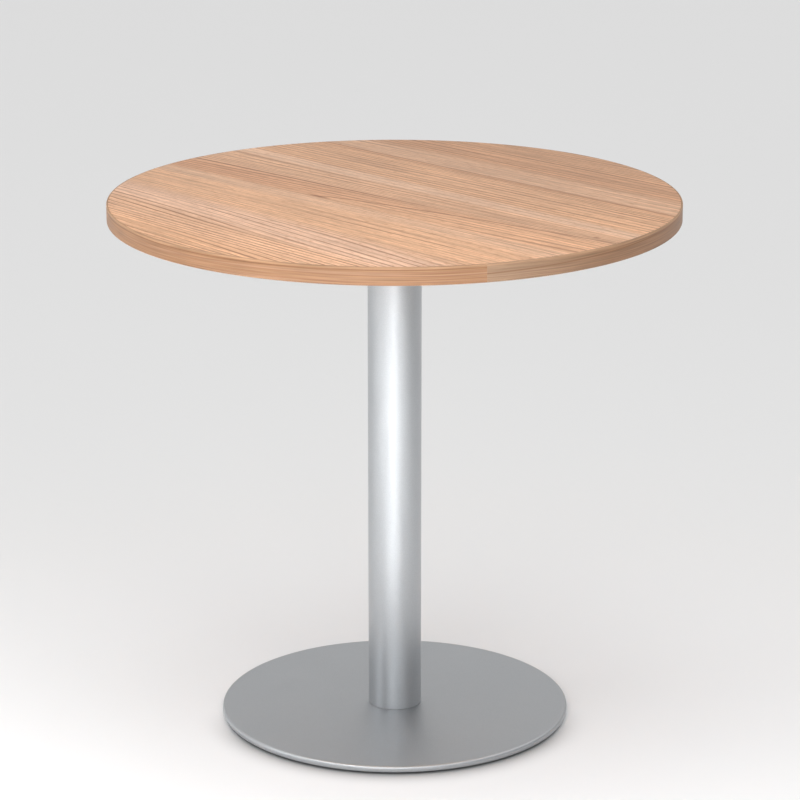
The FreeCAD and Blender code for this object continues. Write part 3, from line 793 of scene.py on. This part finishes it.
def makeFloor():
    look = paleFloor
    mesh = bmesh.new()
    bmesh.ops.create_grid(mesh, x_segments=1, y_segments=1, size=look["size"] / 2,
                          matrix=Matrix.Translation((0, 0, -look["drop"])))
    data = bpy.data.meshes.new("floor")
    mesh.to_mesh(data)
    mesh.free()
    floor = bpy.data.objects.new("floor", data)
    bpy.context.scene.collection.objects.link(floor)

    material, tree = newTree("paleFloor")
    place = add(tree, "TexCoord").outputs["Object"]
    away = add(tree, "VectorMath", {0: place}, operation="LENGTH")
    # painted light: paler and cooler floor round the foot
    outside = add(tree, "MapRange", {"Value": away, "From Min": look["middle"][0],
                                     "From Max": look["middle"][1]}, interpolation_type="SMOOTHSTEP")
    colour = add(tree, "Mix", {0: outside, "A": linear(look["paintedLightTone"]), "B": linear(look["tone"])},
                 data_type="RGBA")
    # painted shadow: the floor is drawn darker, towards black, in a soft band just before the base's rim
    shade, baseRim = look["footShade"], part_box("base_plate")[1].x
    near = add(tree, "MapRange", {"Value": away, "From Min": baseRim, "From Max": baseRim + shade["reach"],
                                  "To Min": 1, "To Max": 0})
    near = add(tree, "Math", {0: near, 1: shade["power"]}, operation="POWER")
    depth = add(tree, "SeparateXYZ", {0: place}).outputs["Y"]
    before = add(tree, "MapRange", {"Value": depth, "From Min": 0, "From Max": -shade["front"],
                                    "To Max": shade["depth"]}, interpolation_type="SMOOTHSTEP")
    near = add(tree, "Math", {0: near, 1: before}, operation="MULTIPLY")
    colour = add(tree, "Mix", {0: near, "A": colour, "B": linear("#000000")}, data_type="RGBA")
    shader = add(tree, "BsdfPrincipled", {"Base Color": colour, "Roughness": look["roughness"],
                                          "Specular IOR Level": look["specular"]})

    # the column mirrors the washes, but seen from behind they would burn the floor out
    front = look["seenFront"]
    calm = add(tree, "MapRange", {"Value": depth, "From Min": front["fade"][0],
                                  "From Max": front["fade"][1]}, interpolation_type="SMOOTHSTEP")
    seen = add(tree, "LightPath").outputs["Is Camera Ray"]
    calm = add(tree, "Math", {0: calm, 1: seen}, operation="MULTIPLY")
    even = add(tree, "Emission", {"Color": linear("#FFFFFF"), "Strength": front["glow"]})
    shader = add(tree, "MixShader", {0: calm, 1: shader, 2: even})

    # the floor is clear from below, and lets the base's underside be lit when it is looked at from there
    clear = add(tree, "NewGeometry").outputs["Backfacing"]
    underBase = add(tree, "MapRange", {"Value": away, "From Min": baseRim - look["underBase"],
                                       "From Max": baseRim, "To Min": 1, "To Max": 0})
    firstBounce = add(tree, "LightPath").outputs["Ray Depth"]
    firstBounce = add(tree, "Math", {0: firstBounce, 1: 1.0, 2: 0.5}, operation="COMPARE")
    lit = add(tree, "Math", {0: underBase, 1: firstBounce}, operation="MULTIPLY")
    clear = add(tree, "Math", {0: clear, 1: lit}, operation="MAXIMUM")
    oneSided = add(tree, "MixShader", {0: clear, 1: shader, 2: add(tree, "BsdfTransparent")})
    add(tree, "OutputMaterial", {"Surface": oneSided})
    data.materials.append(material)


surround = {
    "seen": 0.71,             # what the camera sees past the floor
    "dome": {                 # where it glows: direction, how narrow, strength
        "above": ((0, 0, 1), 3, 1.82),
        "rear": ((0, 1, 0), 1, 0.44),
        "right": ((1, 0, 0), 1, 0.22),
        "lowLeft": ((-1, 0, -0.7), 2, 1.452),
    },
}


def makeSurround():
    world = bpy.data.worlds.new("surround")
    world.use_nodes = True
    tree = world.node_tree
    tree.nodes.clear()
    look = add(tree, "TexCoord").outputs["Generated"]
    dome = 0.0
    for direction, narrow, strength in surround["dome"].values():
        glow = add(tree, "VectorMath", {0: look, 1: direction}, operation="DOT_PRODUCT").outputs["Value"]
        glow = add(tree, "Math", {0: glow, 1: 0.0}, operation="MAXIMUM")
        glow = add(tree, "Math", {0: glow, 1: narrow}, operation="POWER")
        dome = add(tree, "Math", {0: glow, 1: strength, 2: dome}, operation="MULTIPLY_ADD")
    seen = add(tree, "LightPath").outputs["Is Camera Ray"]
    strength = add(tree, "Mix", {0: seen, "A": dome, "B": surround["seen"]})
    light = add(tree, "Background", {"Color": linear("#FFFFFF"), "Strength": strength})
    add(tree, "OutputWorld", {"Surface": light})
    bpy.context.scene.world = world


panels = {                    # place, aim, width and height, spread in degrees, watts
    "frontWash": ((-0.5, -3.2, 1.4), (-0.5, -3.2, 0), (2.2, 1.8), 180, 63),
    "frontGrid": ((-0.45, -3.9, 2.6), (-0.45, -3.9, 0), (1.2, 1.2), 70, 84),
    "nearGrid": ((-0.2, -1.55, 2.6), (-0.2, -1.55, 0), (0.6, 0.6), 34, 4.5),
    "footWash": ((-0.1, -0.69, 0.72), (-0.1, -0.69, 0), (0.5, 0.25), 40, 1.5),
    "rightGrid": ((0.6, -1.6, 2.6), (0.6, -1.6, 0), (1.2, 1.2), 80, 5),
    "leftGrid": ((-1.55, -1.5, 2.6), (-1.55, -1.5, 0), (1.2, 1.2), 80, 20.5),
    "rightWash": ((1.1, -2.3, 2.6), (1.1, -2.3, 0), (1.2, 1.2), 70, 22),
    "leftWash": ((-1.9, -2.1, 2.6), (-1.9, -2.1, 0), (1.2, 1.2), 70, 18),
    "leftPanel": ((-4.06, -1.09, 2.2), (0, 0, 0.4), (1.8, 1.4), 180, 18),
    "rightPanel": ((2.1, -3.64, 2.2), (0, 0, 0.4), (1.8, 1.4), 180, 18),
}
unmirrored = ("rightGrid",)   # kept out of the base's rounded rim


def makePanels():
    for name, (place, aim, size, spread, watts) in panels.items():
        lamp = bpy.data.lights.new(name, "AREA")
        lamp.shape = "RECTANGLE"
        lamp.size, lamp.size_y = size
        lamp.spread = math.radians(spread)
        lamp.energy = watts
        panel = bpy.data.objects.new(name, lamp)
        panel.location = place
        panel.rotation_euler = (Vector(aim) - Vector(place)).to_track_quat("-Z", "Y").to_euler()
        panel.visible_camera = False
        panel.visible_glossy = name not in unmirrored
        bpy.context.scene.collection.objects.link(panel)


# Camera: in front of the table, above its top, looking down at it
cameraSet = {"place": (0, -4.34666, 1.74086), "lookDown": 16.336, "turn": -0.0988, "lens": 143.787, "sensor": 36}


def makeCamera():
    data = bpy.data.cameras.new("camera")
    data.lens = cameraSet["lens"]
    data.sensor_width = cameraSet["sensor"]
    camera = bpy.data.objects.new("camera", data)
    camera.location = cameraSet["place"]
    camera.rotation_euler = (math.radians(90 - cameraSet["lookDown"]), 0, math.radians(cameraSet["turn"]))
    bpy.context.scene.collection.objects.link(camera)
    bpy.context.scene.camera = camera


makeFloor()
makeSurround()
makePanels()
makeCamera()
bpy.context.scene.view_settings.view_transform = "Standard"
print("studio and camera set")
